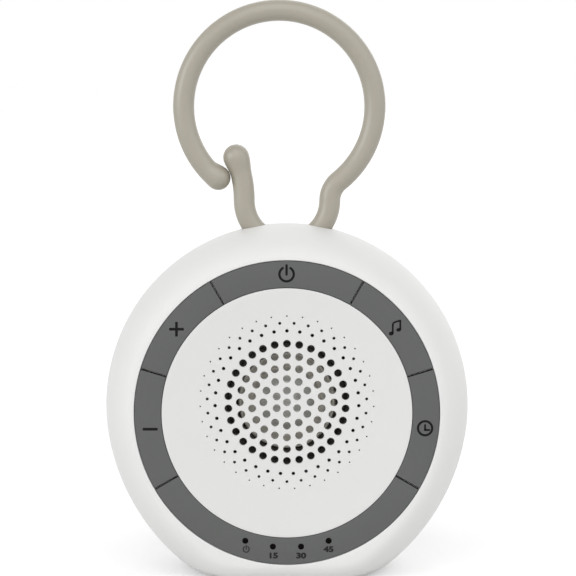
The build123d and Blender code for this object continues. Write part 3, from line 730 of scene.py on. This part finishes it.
def door_loop(inset, depth):
    """The door's outline at an inset and a depth."""
    return rounded_rectangle(DOOR[0] - 2 * inset, DOOR[1] - 2 * inset, DOOR_CORNER - inset, depth)


edge = quarter_round(DOOR_ROUND)
door_loops = [door_loop(inset, DOOR_INSIDE + drop) for inset, drop in reversed(edge)]
door_loops += [door_loop(inset, HALF_DEPTH - drop) for inset, drop in edge]
door = make("battery_hatch_cover", [skin(door_loops)])
notch = [(NOTCH_RADIUS + out, HALF_DEPTH - down) for out, down in NOTCH_WALL]
carve(door, make("notch_tool", [turned(notch, (0, DOOR[1] / 2 + DOOR_GAP), 96)]))
door_foot = -DOOR[1] / 2
tabs = []
for x in TAB_XS:
    left, right = x - TAB_HALF, x + TAB_HALF
    root = (right, DOOR_INSIDE + OVERLAP, door_foot + TAB_ROOT)
    tabs.append(block((left, TAB_INSIDE, door_foot + ROOT), root))
    blade = (right, TAB_OUTSIDE, door_foot + TAB_HOLD)
    tabs.append(block((left, TAB_INSIDE, door_foot - TAB_REACH), blade))
for tab in tabs:
    carve(door, make("tab_tool", [tab]), "UNION")
dress(door, white, "battery_hatch", "white_shell", "battery_door")


# --- Keys and lamp panel -------------------------------------------------------------

def sector_loop(start, end, depth, shrink, steps=48):
    """Outline of a piece of the key ring between two clock angles, shrunk all round."""
    inner = GRILLE_RADIUS + KEY_GAP + shrink
    outer = CHANNEL_OUTER - KEY_GAP - shrink
    margin = math.degrees((DIVISION_GAP / 2 + shrink) / KEY_CIRCLE)
    angles = [start + margin + (end - start - 2 * margin) * step / steps for step in range(steps + 1)]
    loop = [at_depth(clock(outer, angle), depth) for angle in angles]
    return loop + [at_depth(clock(inner, angle), depth) for angle in reversed(angles)]


def key_solid(start, end):
    """Ring segment with a rounded front edge."""
    loops = [sector_loop(start, end, KEY_BACK, 0)]
    for inset, drop in quarter_round(KEY_ROUND):
        loops.append(sector_loop(start, end, -HALF_DEPTH + drop, inset))
    return skin(loops)


for node, (start, end) in KEYS.items():
    middle = clock(KEY_CIRCLE, (start + end) / 2)
    plunger = turned([(PLUNGER_RADIUS, PLUNGER_TIP), (PLUNGER_RADIUS, KEY_BACK)], middle, 32)
    cap = make(node + "_cap", [key_solid(start, end), plunger])
    dress(cap, key_grey, node.replace("_key", "_button"), "dark_grey_key", node)

lamp_spots = [clock(LAMP_CIRCLE, angle) for angle in LAMP_ANGLES]
bore = LAMP_RADIUS + LAMP_PLAY
flare = [
    (bore, LAMP_BACK - OVERCUT),
    (bore, -HALF_DEPTH + 0.06),
    (bore + LAMP_BEVEL, -HALF_DEPTH - 0.02),
    (bore + LAMP_BEVEL, -HALF_DEPTH - OVERCUT),
]
panel = make("lamp_panel", [key_solid(*PANEL)])
carve(panel, make("window_tool", [turned(flare, spot, 48) for spot in lamp_spots]))
dress(panel, key_grey, "housing", "dark_grey_panel", "indicator_panel")

window = [
    (LAMP_RADIUS, LAMP_BACK),
    (LAMP_RADIUS, LAMP_FRONT + 0.1),
    (LAMP_RADIUS - LAMP_BEVEL, LAMP_FRONT + 0.02),
    (0, LAMP_FRONT),
]
lamp_windows = make("lamp_windows", [turned(window, spot, 48) for spot in lamp_spots], crease=50)
dress(lamp_windows, smoked, "housing", "smoked_guide", "light_guide")


# --- Printed legends -----------------------------------------------------------------

def plate(points):
    """Thin printed shape on the keys' front, from its outline."""
    return skin([[at_depth(point, -HALF_DEPTH + level) for point in points] for level in (INK, -INK)])


def cap_arc(end, inner, half, steps=6):
    """Rounded end of a printed line."""
    along = (end - inner).normalized()
    normal = Vector((-along.y, along.x))
    turns = [math.radians(180 * step / steps) for step in range(1, steps)]
    return [end + normal * (half * math.cos(turn)) + along * (half * math.sin(turn)) for turn in turns]


def flat_strip(points, width, closed=False, round_ends=True):
    """Printed line of even width along points in the front plane, given as X and height pairs."""
    half = width / 2
    line = [Vector(point) for point in points]
    count = len(line)
    left, right = [], []
    for index, point in enumerate(line):
        before = line[index - 1] if closed or index > 0 else point
        after = line[(index + 1) % count] if closed or index < count - 1 else point
        along = (after - before).normalized()
        normal = Vector((-along.y, along.x))
        left.append(point + normal * half)
        right.append(point - normal * half)
    if closed:
        corners = ((left, 1), (right, 1), (right, -1), (left, -1))
        loops = [
            [at_depth(side[index], -HALF_DEPTH - INK * level) for side, level in corners]
            for index in range(count)
        ]
        return skin(loops, closed=True)
    right.reverse()
    if round_ends:
        return plate(left + cap_arc(line[-1], line[-2], half) + right + cap_arc(line[0], line[1], half))
    return plate(left + right)


def arc_points(centre, radius, start, end, steps=40):
    """Points along an arc in the front plane, in degrees counted from +X towards +Z."""
    turns = [math.radians(start + (end - start) * step / steps) for step in range(steps + 1)]
    return [(centre[0] + radius * math.cos(turn), centre[1] + radius * math.sin(turn)) for turn in turns]


def oval(centre, wide, high, tilt):
    """Filled ellipse in the front plane, tilted by degrees."""
    slope_x, slope_z = math.cos(math.radians(tilt)), math.sin(math.radians(tilt))
    points = []
    for turn in full_turn(24):
        x, z = wide * math.cos(turn), high * math.sin(turn)
        points.append((centre[0] + x * slope_x - z * slope_z, centre[1] + x * slope_z + z * slope_x))
    return plate(points)


def power_symbol(centre, size, stroke):
    """Circle that is open at the top, with a stem in the opening."""
    x, z = centre
    circle = flat_strip(arc_points(centre, size, 90 + POWER_OPENING, 450 - POWER_OPENING), stroke)
    stem = flat_strip([(x, z + size * 1.24), (x, z - size * 0.05)], stroke)
    return [circle, stem]


def clock_symbol(centre, size, stroke):
    """Ring with two hands."""
    x, z = centre
    face = flat_strip(arc_points(centre, size, 0, 354, 59), stroke, closed=True)
    hub = z - size * 0.25
    hour = flat_strip([(x, z + size * 0.45), (x, hub)], stroke * HAND_STROKE)
    minute = flat_strip([(x - stroke * 0.1, hub), (x + size * 0.6, hub)], stroke * HAND_STROKE)
    return [face, hour, minute]


def bar(start, end, stroke):
    """Straight printed line with square ends."""
    return flat_strip([start, end], stroke, round_ends=False)


def note_symbol(centre):
    """Two beamed quavers, drawn from their middle."""
    x, z = centre
    left, right = x - 0.8, x + 1.2
    beam = [
        (left, z + 0.8),
        (left + 0.04, z + 1.25),
        (left + 0.3, z + 1.6),
        (left + 0.9, z + 1.87),
        (right, z + 2.15),
    ]
    return [
        oval((left - 0.42, z - 1.33), 0.66, 0.52, 15),
        oval((right - 0.42, z - 0.32), 0.66, 0.48, 12),
        bar((left, z - 1.3), (left, z + 1.1), BAR_STROKE),
        bar((right, z - 0.3), (right, z + 2.35), BAR_STROKE),
        flat_strip(beam, BAR_STROKE, round_ends=False),
    ]


def minus_symbol(centre, reach, stroke):
    """Level bar."""
    x, z = centre
    return [bar((x - reach, z), (x + reach, z), stroke)]


def plus_symbol(centre, reach, stroke):
    """Plus of one long bar and two short ones that meet it."""
    x, z = centre
    upper = bar((x, z + reach), (x, z + stroke / 2), stroke)
    lower = bar((x, z - stroke / 2), (x, z - reach), stroke)
    return minus_symbol(centre, reach, stroke) + [upper, lower]


def legend(name, shapes, body, slot="dark_grey_key", material=ink):
    """Printed legend that moves with its key or with the panel."""
    dress(make(name, shapes, weld=FINE_WELD), material, body, slot)


legend("power_legend", power_symbol(POWER_SPOT, size=1.92, stroke=0.62), "power_button")
legend("sound_legend", note_symbol(NOTE_SPOT), "sound_button")
legend("timer_legend", clock_symbol(CLOCK_SPOT, size=1.9, stroke=0.6), "timer_button")
legend("quieter_legend", minus_symbol(MINUS_SPOT, reach=2.0, stroke=0.72), "quieter_button")
legend("louder_legend", plus_symbol(PLUS_SPOT, reach=1.96, stroke=0.7), "louder_button")
small_power = power_symbol(SMALL_POWER_SPOT, size=0.8, stroke=0.3)
legend("lamp_power_legend", small_power, "housing", "dark_grey_panel", faint_ink)


def number(name, text, spot):
    """Printed number on the panel, centred on a spot."""
    curve = bpy.data.curves.new(name, "FONT")
    curve.body = text
    curve.size = NUMBER_SIZE * MM
    curve.align_x = "CENTER"
    curve.align_y = "CENTER"
    curve.offset = NUMBER_WEIGHT * MM
    curve.extrude = INK * MM
    curve.resolution_u = 6
    words = place(name + "_text", curve)
    words.rotation_euler = (math.radians(90), 0, 0)
    words.scale = (NUMBER_STRETCH, 1, 1)
    words.location = at_depth(spot, -HALF_DEPTH) * MM
    mesh = baked(words)
    mesh.transform(words.matrix_world)
    mesh.name = name
    bpy.data.objects.remove(words)
    dress(place(name, mesh), faint_ink, "housing", "dark_grey_panel")


for minutes, spot in NUMBER_SPOTS.items():
    number("minutes_" + minutes, minutes, spot)


# --- Speaker grille ------------------------------------------------------------------

def dish(radius):
    """Depth of the grille's front, a shallow dish."""
    return -HALF_DEPTH + DISH_DEPTH * (1 - min(radius / GRILLE_RADIUS, 1) ** DISH_POWER)


grille_profile = [(BACK_RING, GRILLE_BACK), (GRILLE_SKIRT, GRILLE_BACK), (GRILLE_SKIRT, CHANNEL_FLOOR)]
grille_profile.append((GRILLE_RADIUS, CHANNEL_FLOOR))
for inset, drop in quarter_round(GRILLE_EDGE):
    grille_profile.append((GRILLE_RADIUS - inset, -HALF_DEPTH + drop))
for step in range(1, GRILLE_STEPS):
    radius = (GRILLE_RADIUS - DISH_MARGIN) * (1 - step / GRILLE_STEPS)
    grille_profile.append((radius, dish(radius)))
grille = make("perforated_front", [turned(grille_profile, count=GRILLE_COLUMNS)], crease=GRILLE_CREASE)


def hole_tool(spot, radius, sides):
    """Cutter for a sound hole with a lightly bevelled edge."""
    height = spot[1] + GRILLE_LIFT
    surface = dish(math.hypot(spot[0], height))
    flared = radius + HOLE_FLARE * HOLE_BEVEL
    profile = [
        (radius, GRILLE_BACK + ROOT),
        (radius, surface + HOLE_BEVEL),
        (flared, surface - HOLE_BEVEL / 2),
        (flared, surface - HOLE_CLEARANCE),
    ]
    return turned(profile, (spot[0], height), sides)


hole_tools = [hole_tool((0.0, 0.0), HOLE_RADIUS, HOLE_SIDES)]
for index in range(1, HOLE_RINGS + 1):
    for step in range(6 * index):
        spot = clock(index * HOLE_PITCH, 360 * step / (6 * index))
        hole_tools.append(hole_tool(spot, HOLE_RADIUS, HOLE_SIDES))
for radius, hole, stagger in FINE_RINGS:
    for step in range(FINE_HOLES):
        spot = clock(radius, 360 * (step + stagger) / FINE_HOLES)
        hole_tools.append(hole_tool(spot, hole, FINE_SIDES))
carve(grille, make("hole_tool", hole_tools), crease=GRILLE_CREASE)
dress(grille, white_grille, "housing", "white_grille", "speaker_grille")

# --- Speaker seen through the holes --------------------------------------------------

speaker_centre = (0.0, GRILLE_LIFT)


def bead(radius, depth, size, steps=10):
    """Half-round bead on the front of a turned piece, from its inner edge to its outer one."""
    turns = [math.pi * step / steps for step in range(steps + 1)]
    return [(radius - size * math.cos(turn), depth - size * math.sin(turn)) for turn in turns]


cone_inner, cone_outer = CAP_RADIUS - CONE_TUCK, CONE_RADIUS - CONE_BAND
cone_profile = []
for step in range(CONE_STEPS + 1):
    share = step / CONE_STEPS
    radius = cone_inner + (cone_outer - cone_inner) * share
    cone_profile.append((radius, CONE_BACK - CONE_RISE * share**CONE_CURVE))
cone_profile += bead(*EDGE_BEAD)
cone_profile += [
    (CONE_RADIUS - 0.05, SURROUND_BACK - 0.1),
    (CONE_RADIUS - 0.9, SURROUND_BACK),
    (cone_inner, CONE_BACK + CONE_SHEET),
]
cone = make("paper_cone", [turned(cone_profile, speaker_centre, closed=True)], crease=CONE_CREASE)
dress(cone, cone_paper, "housing", "cone_paper", "speaker_cone")

cap_profile = [(CAP_RADIUS - 0.3, CAP_BACK + CAP_LIP)]
for turn in quarter_turn(CAP_STEPS):
    cap_profile.append((CAP_RADIUS * math.cos(turn), CAP_BACK - CAP_RISE * math.sin(turn)))
dust_cap = make("paper_dust_cap", [turned(cap_profile, speaker_centre)], crease=CONE_CREASE)
dress(dust_cap, cap_paper, "housing", "dust_cap_grey", "dust_cap")

roll = [(CONE_RADIUS + 0.02, SURROUND_BACK)]
roll += bead(CONE_RADIUS + ROLL_PLACE, ROLL_BACK, ROLL_SIZE, 16)
roll += [(SURROUND_RADIUS, ROLL_BACK), (SURROUND_RADIUS, SURROUND_BACK)]
surround = make("rubber_surround", [turned(roll, speaker_centre, closed=True)], crease=CONE_CREASE)
dress(surround, foam, "housing", "surround_black", "speaker_surround")


# --- Cells and screws ----------------------------------------------------------------

def cell(height, nub_side):
    """AA cell lying across the bay, with its nub at one end and a crimped jacket."""
    nub_x = nub_side * (bay_half_x - CELL_PLAY)
    loops = []
    for radius, along in CELL_PROFILE:
        x = nub_x - nub_side * along
        loop = []
        for turn in full_turn(CELL_SIDES):
            loop.append(rel(x, CELL_DEPTH + radius * math.cos(turn), height + radius * math.sin(turn)))
        loops.append(loop)
    return skin(loops)


# The cells lie head to tail.
for index, height in enumerate((-CELL_PITCH, 0.0, CELL_PITCH)):
    nub_side = 1 if index % 2 == 0 else -1
    battery = make(f"cell_{index + 1}", [cell(height, nub_side)], crease=CELL_CREASE)
    dress(battery, jacket, "housing", "cell_jacket", f"battery_{index + 1}")

dome_foot = SCREW_SEAT + SCREW_SIDE
screw_profile = [
    (SCREW_SHANK, SCREW_SEAT - SCREW_LENGTH),
    (SCREW_SHANK, SCREW_SEAT),
    (SCREW_HEAD - SCREW_TAPER, SCREW_SEAT),
    (SCREW_HEAD, dome_foot),
]
for angle in (20, 40, 60, 80):
    turn = math.radians(angle)
    screw_profile.append((SCREW_HEAD * math.cos(turn), dome_foot + SCREW_DOME * math.sin(turn)))
screws = make("case_screws", [turned(screw_profile, spot, 48) for spot in screw_spots])
for name, half_x, half_z in (
    ("cross_tool", CROSS_REACH, CROSS_HALF),
    ("upright_tool", CROSS_HALF, CROSS_REACH),
):
    cuts = []
    for x, z in screw_spots:
        low = (x - half_x, SCREW_SEAT + CROSS_FLOOR, z - half_z)
        high = (x + half_x, dome_foot + SCREW_DOME + OVERCUT, z + half_z)
        cuts.append(block(low, high))
    carve(screws, make(name, cuts))
dress(screws, steel, "housing", "screw_zinc", "housing_screws")

# --- CAD pieces that stay get their materials ----------------------------------------

FINISHES = {
    "board_green": green,
    "chip_black": black,
    "socket_white": nylon,
    "capacitor_sleeve": black,
    "speaker_steel": steel,
    "gasket_foam": rubber,
    "coil_copper": copper,
    "magnet_ferrite": ferrite,
    "contact_nickel": nickel,
    "switch_black": black,
    "actuator_white": nylon,
    "lamp_body": nylon,
}
for entry in frame["record"]["subparts"]:
    # The basket is made dark, painted shade for what shows through the outer sound holes; the rest of the
    # speaker's steel is bare.
    finish = basket_painted_shade if entry["node"] == "speaker_basket" else FINISHES.get(entry["material_slot"])
    if finish:
        mesh = frame["nodes"][entry["node"]].data
        mesh.materials.clear()
        mesh.materials.append(finish)

# --- Floor, light and camera ---------------------------------------------------------

WORLD_LIGHT = 0.53
FLOOR_TONE = 0.82
FLOOR_GLOW = 0.30
FLOOR_REACH = 40.0  # in metres, as all the values below
SUN_DISTANCE = 2.0
# Name, direction it shines from, strength, softness in degrees.
SUNS = [
    ("left_light", (-0.80, -0.50, 0.22), 0.95, 38),
    ("right_light", (0.80, -0.50, 0.32), 0.82, 75),
    ("front_light", (-0.03, -0.93, 0.37), 0.22, 8),
    ("top_light", (-0.05, -0.62, 0.78), 0.42, 28),
    ("rear_light", (0.25, 0.85, 0.50), 0.6, 60),
]
CAMERA_DISTANCE = 0.700
CAMERA_RISE = math.radians(4.14)
CAMERA_LENS = 158.16
SENSOR = 36.0
AIM = Vector((0.28, 0, 77.88)) * MM


def seen_by_camera(nodes, links):
    """Value that is 1 for rays which show the background straight, mirrored or through glass."""
    paths = nodes.new("ShaderNodeLightPath")
    mirrored = nodes.new("ShaderNodeMath")
    mirrored.operation = "MAXIMUM"
    links.new(paths.outputs["Is Glossy Ray"], mirrored.inputs[0])
    links.new(paths.outputs["Is Transmission Ray"], mirrored.inputs[1])
    either = nodes.new("ShaderNodeMath")
    either.operation = "MAXIMUM"
    links.new(paths.outputs["Is Camera Ray"], either.inputs[0])
    links.new(mirrored.outputs["Value"], either.inputs[1])
    return either.outputs["Value"]


def stage_material():
    """Pale floor that shows near white to the camera and keeps the shadow."""
    material = bpy.data.materials.new("pale_floor")
    material.use_nodes = True
    nodes, links = material.node_tree.nodes, material.node_tree.links
    shader = nodes["Principled BSDF"]
    shader.inputs["Base Color"].default_value = (FLOOR_TONE, FLOOR_TONE, FLOOR_TONE, 1)
    shader.inputs["Roughness"].default_value = 0.9
    shader.inputs["Specular IOR Level"].default_value = 0.1
    glow = nodes.new("ShaderNodeEmission")
    glow.inputs["Strength"].default_value = FLOOR_GLOW
    both = nodes.new("ShaderNodeAddShader")
    pick = nodes.new("ShaderNodeMixShader")
    links.new(shader.outputs["BSDF"], both.inputs[0])
    links.new(glow.outputs["Emission"], both.inputs[1])
    links.new(seen_by_camera(nodes, links), pick.inputs["Fac"])
    links.new(shader.outputs["BSDF"], pick.inputs[1])
    links.new(both.outputs["Shader"], pick.inputs[2])
    links.new(pick.outputs["Shader"], nodes["Material Output"].inputs["Surface"])
    return material


floor_mesh = bpy.data.meshes.new("floor")
floor_corners = [(x * FLOOR_REACH, y * FLOOR_REACH, 0) for x, y in ((-1, -1), (1, -1), (1, 1), (-1, 1))]
floor_mesh.from_pydata(floor_corners, [], [(0, 1, 2, 3)])
floor_mesh.materials.append(stage_material())
floor = place("floor", floor_mesh)
floor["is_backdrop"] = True

world = bpy.data.worlds.new("studio")
world.use_nodes = True
bpy.context.scene.world = world
nodes, links = world.node_tree.nodes, world.node_tree.links
background = nodes["Background"]
background.inputs["Color"].default_value = (1, 1, 1, 1)
level = nodes.new("ShaderNodeMapRange")
level.inputs["To Min"].default_value = WORLD_LIGHT
level.inputs["To Max"].default_value = 1.0
links.new(seen_by_camera(nodes, links), level.inputs["Value"])
links.new(level.outputs["Result"], background.inputs["Strength"])

for name, towards, strength, softness in SUNS:
    lamp = bpy.data.lights.new(name, "SUN")
    lamp.energy = strength
    lamp.angle = math.radians(softness)
    sun = place(name, lamp)
    sun.location = Vector(towards).normalized() * SUN_DISTANCE
    sun.rotation_mode = "QUATERNION"
    sun.rotation_quaternion = Vector(towards).to_track_quat("Z", "Y")

camera_data = bpy.data.cameras.new("camera")
camera_data.lens = CAMERA_LENS
camera_data.sensor_width = SENSOR
camera = place("camera", camera_data)
camera.location = AIM + Vector((0, -math.cos(CAMERA_RISE), math.sin(CAMERA_RISE))) * CAMERA_DISTANCE
camera.rotation_mode = "QUATERNION"
camera.rotation_quaternion = (AIM - camera.location).to_track_quat("-Z", "Y")
bpy.context.scene.camera = camera
bpy.context.scene.view_settings.view_transform = "Standard"

low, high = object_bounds()
